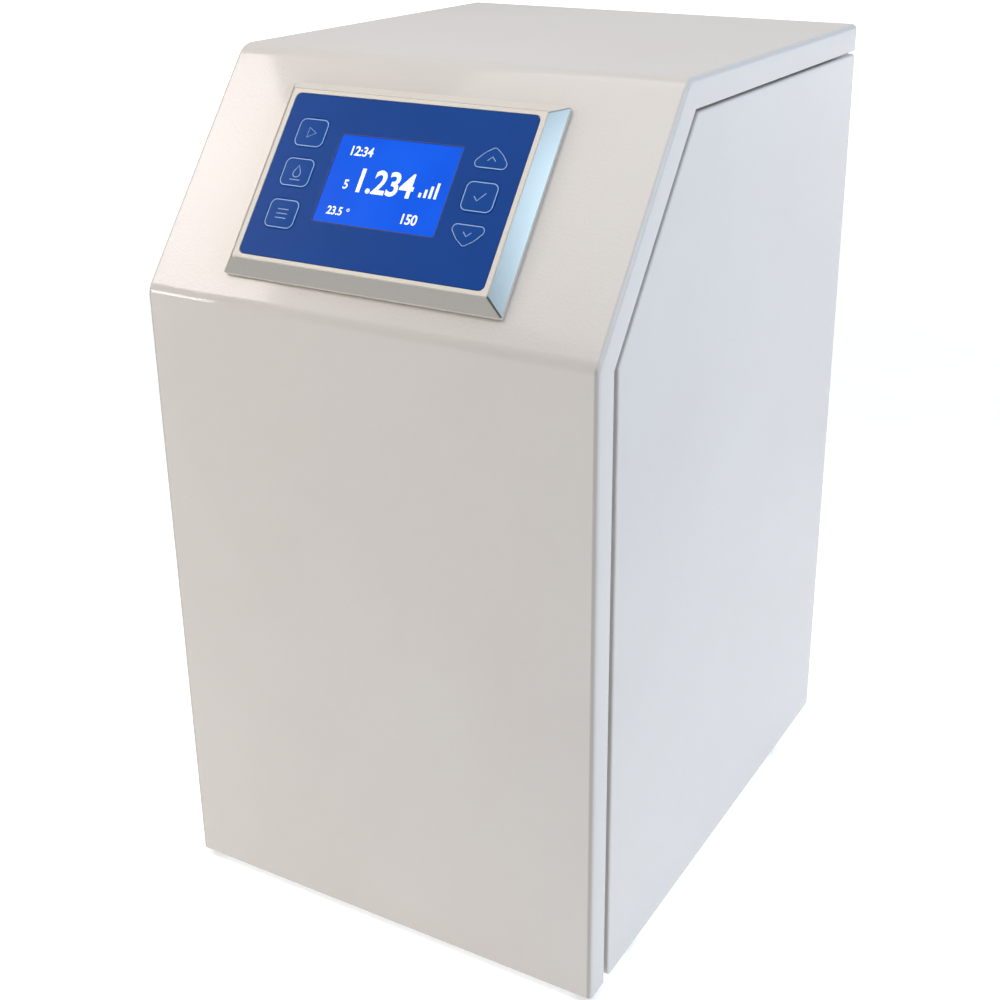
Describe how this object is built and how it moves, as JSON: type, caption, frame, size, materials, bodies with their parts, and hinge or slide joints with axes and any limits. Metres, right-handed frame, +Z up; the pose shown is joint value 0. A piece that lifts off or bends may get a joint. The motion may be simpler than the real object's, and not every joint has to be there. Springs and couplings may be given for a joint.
{
  "type": "water purification system",
  "caption": "Bench-top water purifier: folded sheet case with sloping keypad display, tilt-out side panels, twist-lock cartridges, membrane vessel, pump, valves and rear ports.",
  "frame": {"origin": "on the floor under the middle of the case's bounding box", "axes": "+Z up, the front with the sloping display faces -Y, +X is the right side seen from the front"},
  "size_m": [0.29, 0.364, 0.517],
  "materials": {
    "cream_paint": "fine orange-peel powder coat, satin",
    "zinc_steel": "zinc-plated sheet",
    "satin_frame": "satin silver-beige moulding",
    "blue_membrane": "printed polyester keypad, semi-gloss",
    "screen": "lit blue liquid crystal screen behind clear plastic",
    "black_rubber": "matt",
    "black_moulding": "fine-textured moulding",
    "white_plastic": "moulded polypropylene",
    "grey_plastic": "moulded acetal",
    "motor_grey": "drawn steel can, painted",
    "circuit_board": "solder-masked board",
    "brass": "forged and machined",
    "blue_hose": "polyethylene hose"
  },
  "bodies": {
    "case": {"base_pan": "zinc_steel", "cartridge_head": "white_plastic", "conductivity_cell": "black_moulding", "control_board": "circuit_board", "display_bezel": "satin_frame", "drain_hose": "blue_hose", "drain_port": "white_plastic", "feed_hose": "blue_hose", "feed_port": "white_plastic", "flush_valve_body": "brass", "foot_left_front": "black_rubber", "foot_left_rear": "black_rubber", "foot_right_front": "black_rubber", "foot_right_rear": "black_rubber", "front_top_shell": "cream_paint", "inlet_valve_body": "brass", "key_board": "circuit_board", "keypad_overlay": "blue_membrane", "lcd_module": "screen", "membrane_hose": "blue_hose", "mid_plate": "zinc_steel", "panel_catch_left_front": "zinc_steel", "panel_catch_left_rear": "zinc_steel", "panel_catch_right_front": "zinc_steel", "panel_catch_right_rear": "zinc_steel", "permeate_hose": "blue_hose", "power_inlet": "black_moulding", "power_supply": "zinc_steel", "pressure_switch": "black_moulding", "product_hose": "blue_hose", "product_port": "white_plastic", "pump_cradle": "black_rubber", "pump_head": "black_moulding", "pump_hose": "blue_hose", "pump_motor": "motor_grey", "rear_panel": "cream_paint", "reject_hose": "blue_hose", "ro_cap": "white_plastic", "ro_clip_lower": "black_moulding", "ro_clip_upper": "black_moulding", "ro_vessel": "white_plastic"},
    "side_panel_right": {"side_panel_right": "cream_paint"},
    "side_panel_left": {"side_panel_left": "cream_paint"},
    "key_left_top": {"key_left_top": "blue_membrane"},
    "key_left_middle": {"key_left_middle": "blue_membrane"},
    "key_left_bottom": {"key_left_bottom": "blue_membrane"},
    "key_up": {"key_up": "blue_membrane"},
    "key_select": {"key_select": "blue_membrane"},
    "key_down": {"key_down": "blue_membrane"},
    "prefilter_cartridge": {"prefilter_cartridge": "white_plastic"},
    "ion_cartridge": {"ion_cartridge": "white_plastic"},
    "polishing_cartridge": {"polishing_cartridge": "white_plastic"},
    "pump_rotor": {"pump_rotor": "zinc_steel"},
    "inlet_valve_plunger": {"inlet_valve_plunger": "zinc_steel"},
    "flush_valve_plunger": {"flush_valve_plunger": "zinc_steel"},
    "power_rocker": {"power_rocker": "black_moulding"},
    "fuse_drawer": {"fuse_drawer": "black_moulding"},
    "feed_collet": {"feed_collet": "grey_plastic"},
    "drain_collet": {"drain_collet": "grey_plastic"},
    "product_collet": {"product_collet": "grey_plastic"}
  },
  "joints": [
    {"name": "side_panel_right_tilt", "type": "hinge", "parent": "case", "child": "side_panel_right", "pos_m": [0.14, 0, 0.01], "axis": [0, 1, 0], "range_deg": [0, 30]},
    {"name": "side_panel_left_tilt", "type": "hinge", "parent": "case", "child": "side_panel_left", "pos_m": [-0.14, 0, 0.01], "axis": [0, -1, 0], "range_deg": [0, 30]},
    {"name": "key_left_top_press", "type": "slide", "parent": "case", "child": "key_left_top", "axis": [0, 0.7894, -0.6139], "range_m": [0, 0.0005], "stiffness_N_per_m": 1500},
    {"name": "key_left_middle_press", "type": "slide", "parent": "case", "child": "key_left_middle", "axis": [0, 0.7894, -0.6139], "range_m": [0, 0.0005], "stiffness_N_per_m": 1500},
    {"name": "key_left_bottom_press", "type": "slide", "parent": "case", "child": "key_left_bottom", "axis": [0, 0.7894, -0.6139], "range_m": [0, 0.0005], "stiffness_N_per_m": 1500},
    {"name": "key_up_press", "type": "slide", "parent": "case", "child": "key_up", "axis": [0, 0.7894, -0.6139], "range_m": [0, 0.0005], "stiffness_N_per_m": 1500},
    {"name": "key_select_press", "type": "slide", "parent": "case", "child": "key_select", "axis": [0, 0.7894, -0.6139], "range_m": [0, 0.0005], "stiffness_N_per_m": 1500},
    {"name": "key_down_press", "type": "slide", "parent": "case", "child": "key_down", "axis": [0, 0.7894, -0.6139], "range_m": [0, 0.0005], "stiffness_N_per_m": 1500},
    {"name": "prefilter_cartridge_twist", "type": "hinge", "parent": "case", "child": "prefilter_cartridge", "pos_m": [0.088, -0.095, 0.375], "axis": [0, 0, 1], "range_deg": [0, 90]},
    {"name": "ion_cartridge_twist", "type": "hinge", "parent": "case", "child": "ion_cartridge", "pos_m": [0.088, -0.005, 0.375], "axis": [0, 0, 1], "range_deg": [0, 90]},
    {"name": "polishing_cartridge_twist", "type": "hinge", "parent": "case", "child": "polishing_cartridge", "pos_m": [0.088, 0.085, 0.375], "axis": [0, 0, 1], "range_deg": [0, 90]},
    {"name": "pump_rotor_spin", "type": "hinge", "parent": "case", "child": "pump_rotor", "pos_m": [-0.088, 0.05, 0.048], "axis": [0, 1, 0], "continuous": true},
    {"name": "inlet_valve_lift", "type": "slide", "parent": "case", "child": "inlet_valve_plunger", "axis": [0, 0, 1], "range_m": [0, 0.0015], "stiffness_N_per_m": 400},
    {"name": "flush_valve_lift", "type": "slide", "parent": "case", "child": "flush_valve_plunger", "axis": [0, 0, 1], "range_m": [0, 0.0015], "stiffness_N_per_m": 400},
    {"name": "power_rocker_tip", "type": "hinge", "parent": "case", "child": "power_rocker", "pos_m": [-0.078, 0.1623, 0.4395], "axis": [-1, 0, 0], "range_deg": [0, 18]},
    {"name": "fuse_drawer_pull", "type": "slide", "parent": "case", "child": "fuse_drawer", "axis": [0, 1, 0], "range_m": [0, 0.016]},
    {"name": "feed_collet_press", "type": "slide", "parent": "case", "child": "feed_collet", "axis": [0, -1, 0], "range_m": [0, 0.0012], "stiffness_N_per_m": 800},
    {"name": "drain_collet_press", "type": "slide", "parent": "case", "child": "drain_collet", "axis": [0, -1, 0], "range_m": [0, 0.0012], "stiffness_N_per_m": 800},
    {"name": "product_collet_press", "type": "slide", "parent": "case", "child": "product_collet", "axis": [0, -1, 0], "range_m": [0, 0.0012], "stiffness_N_per_m": 800}
  ]
}
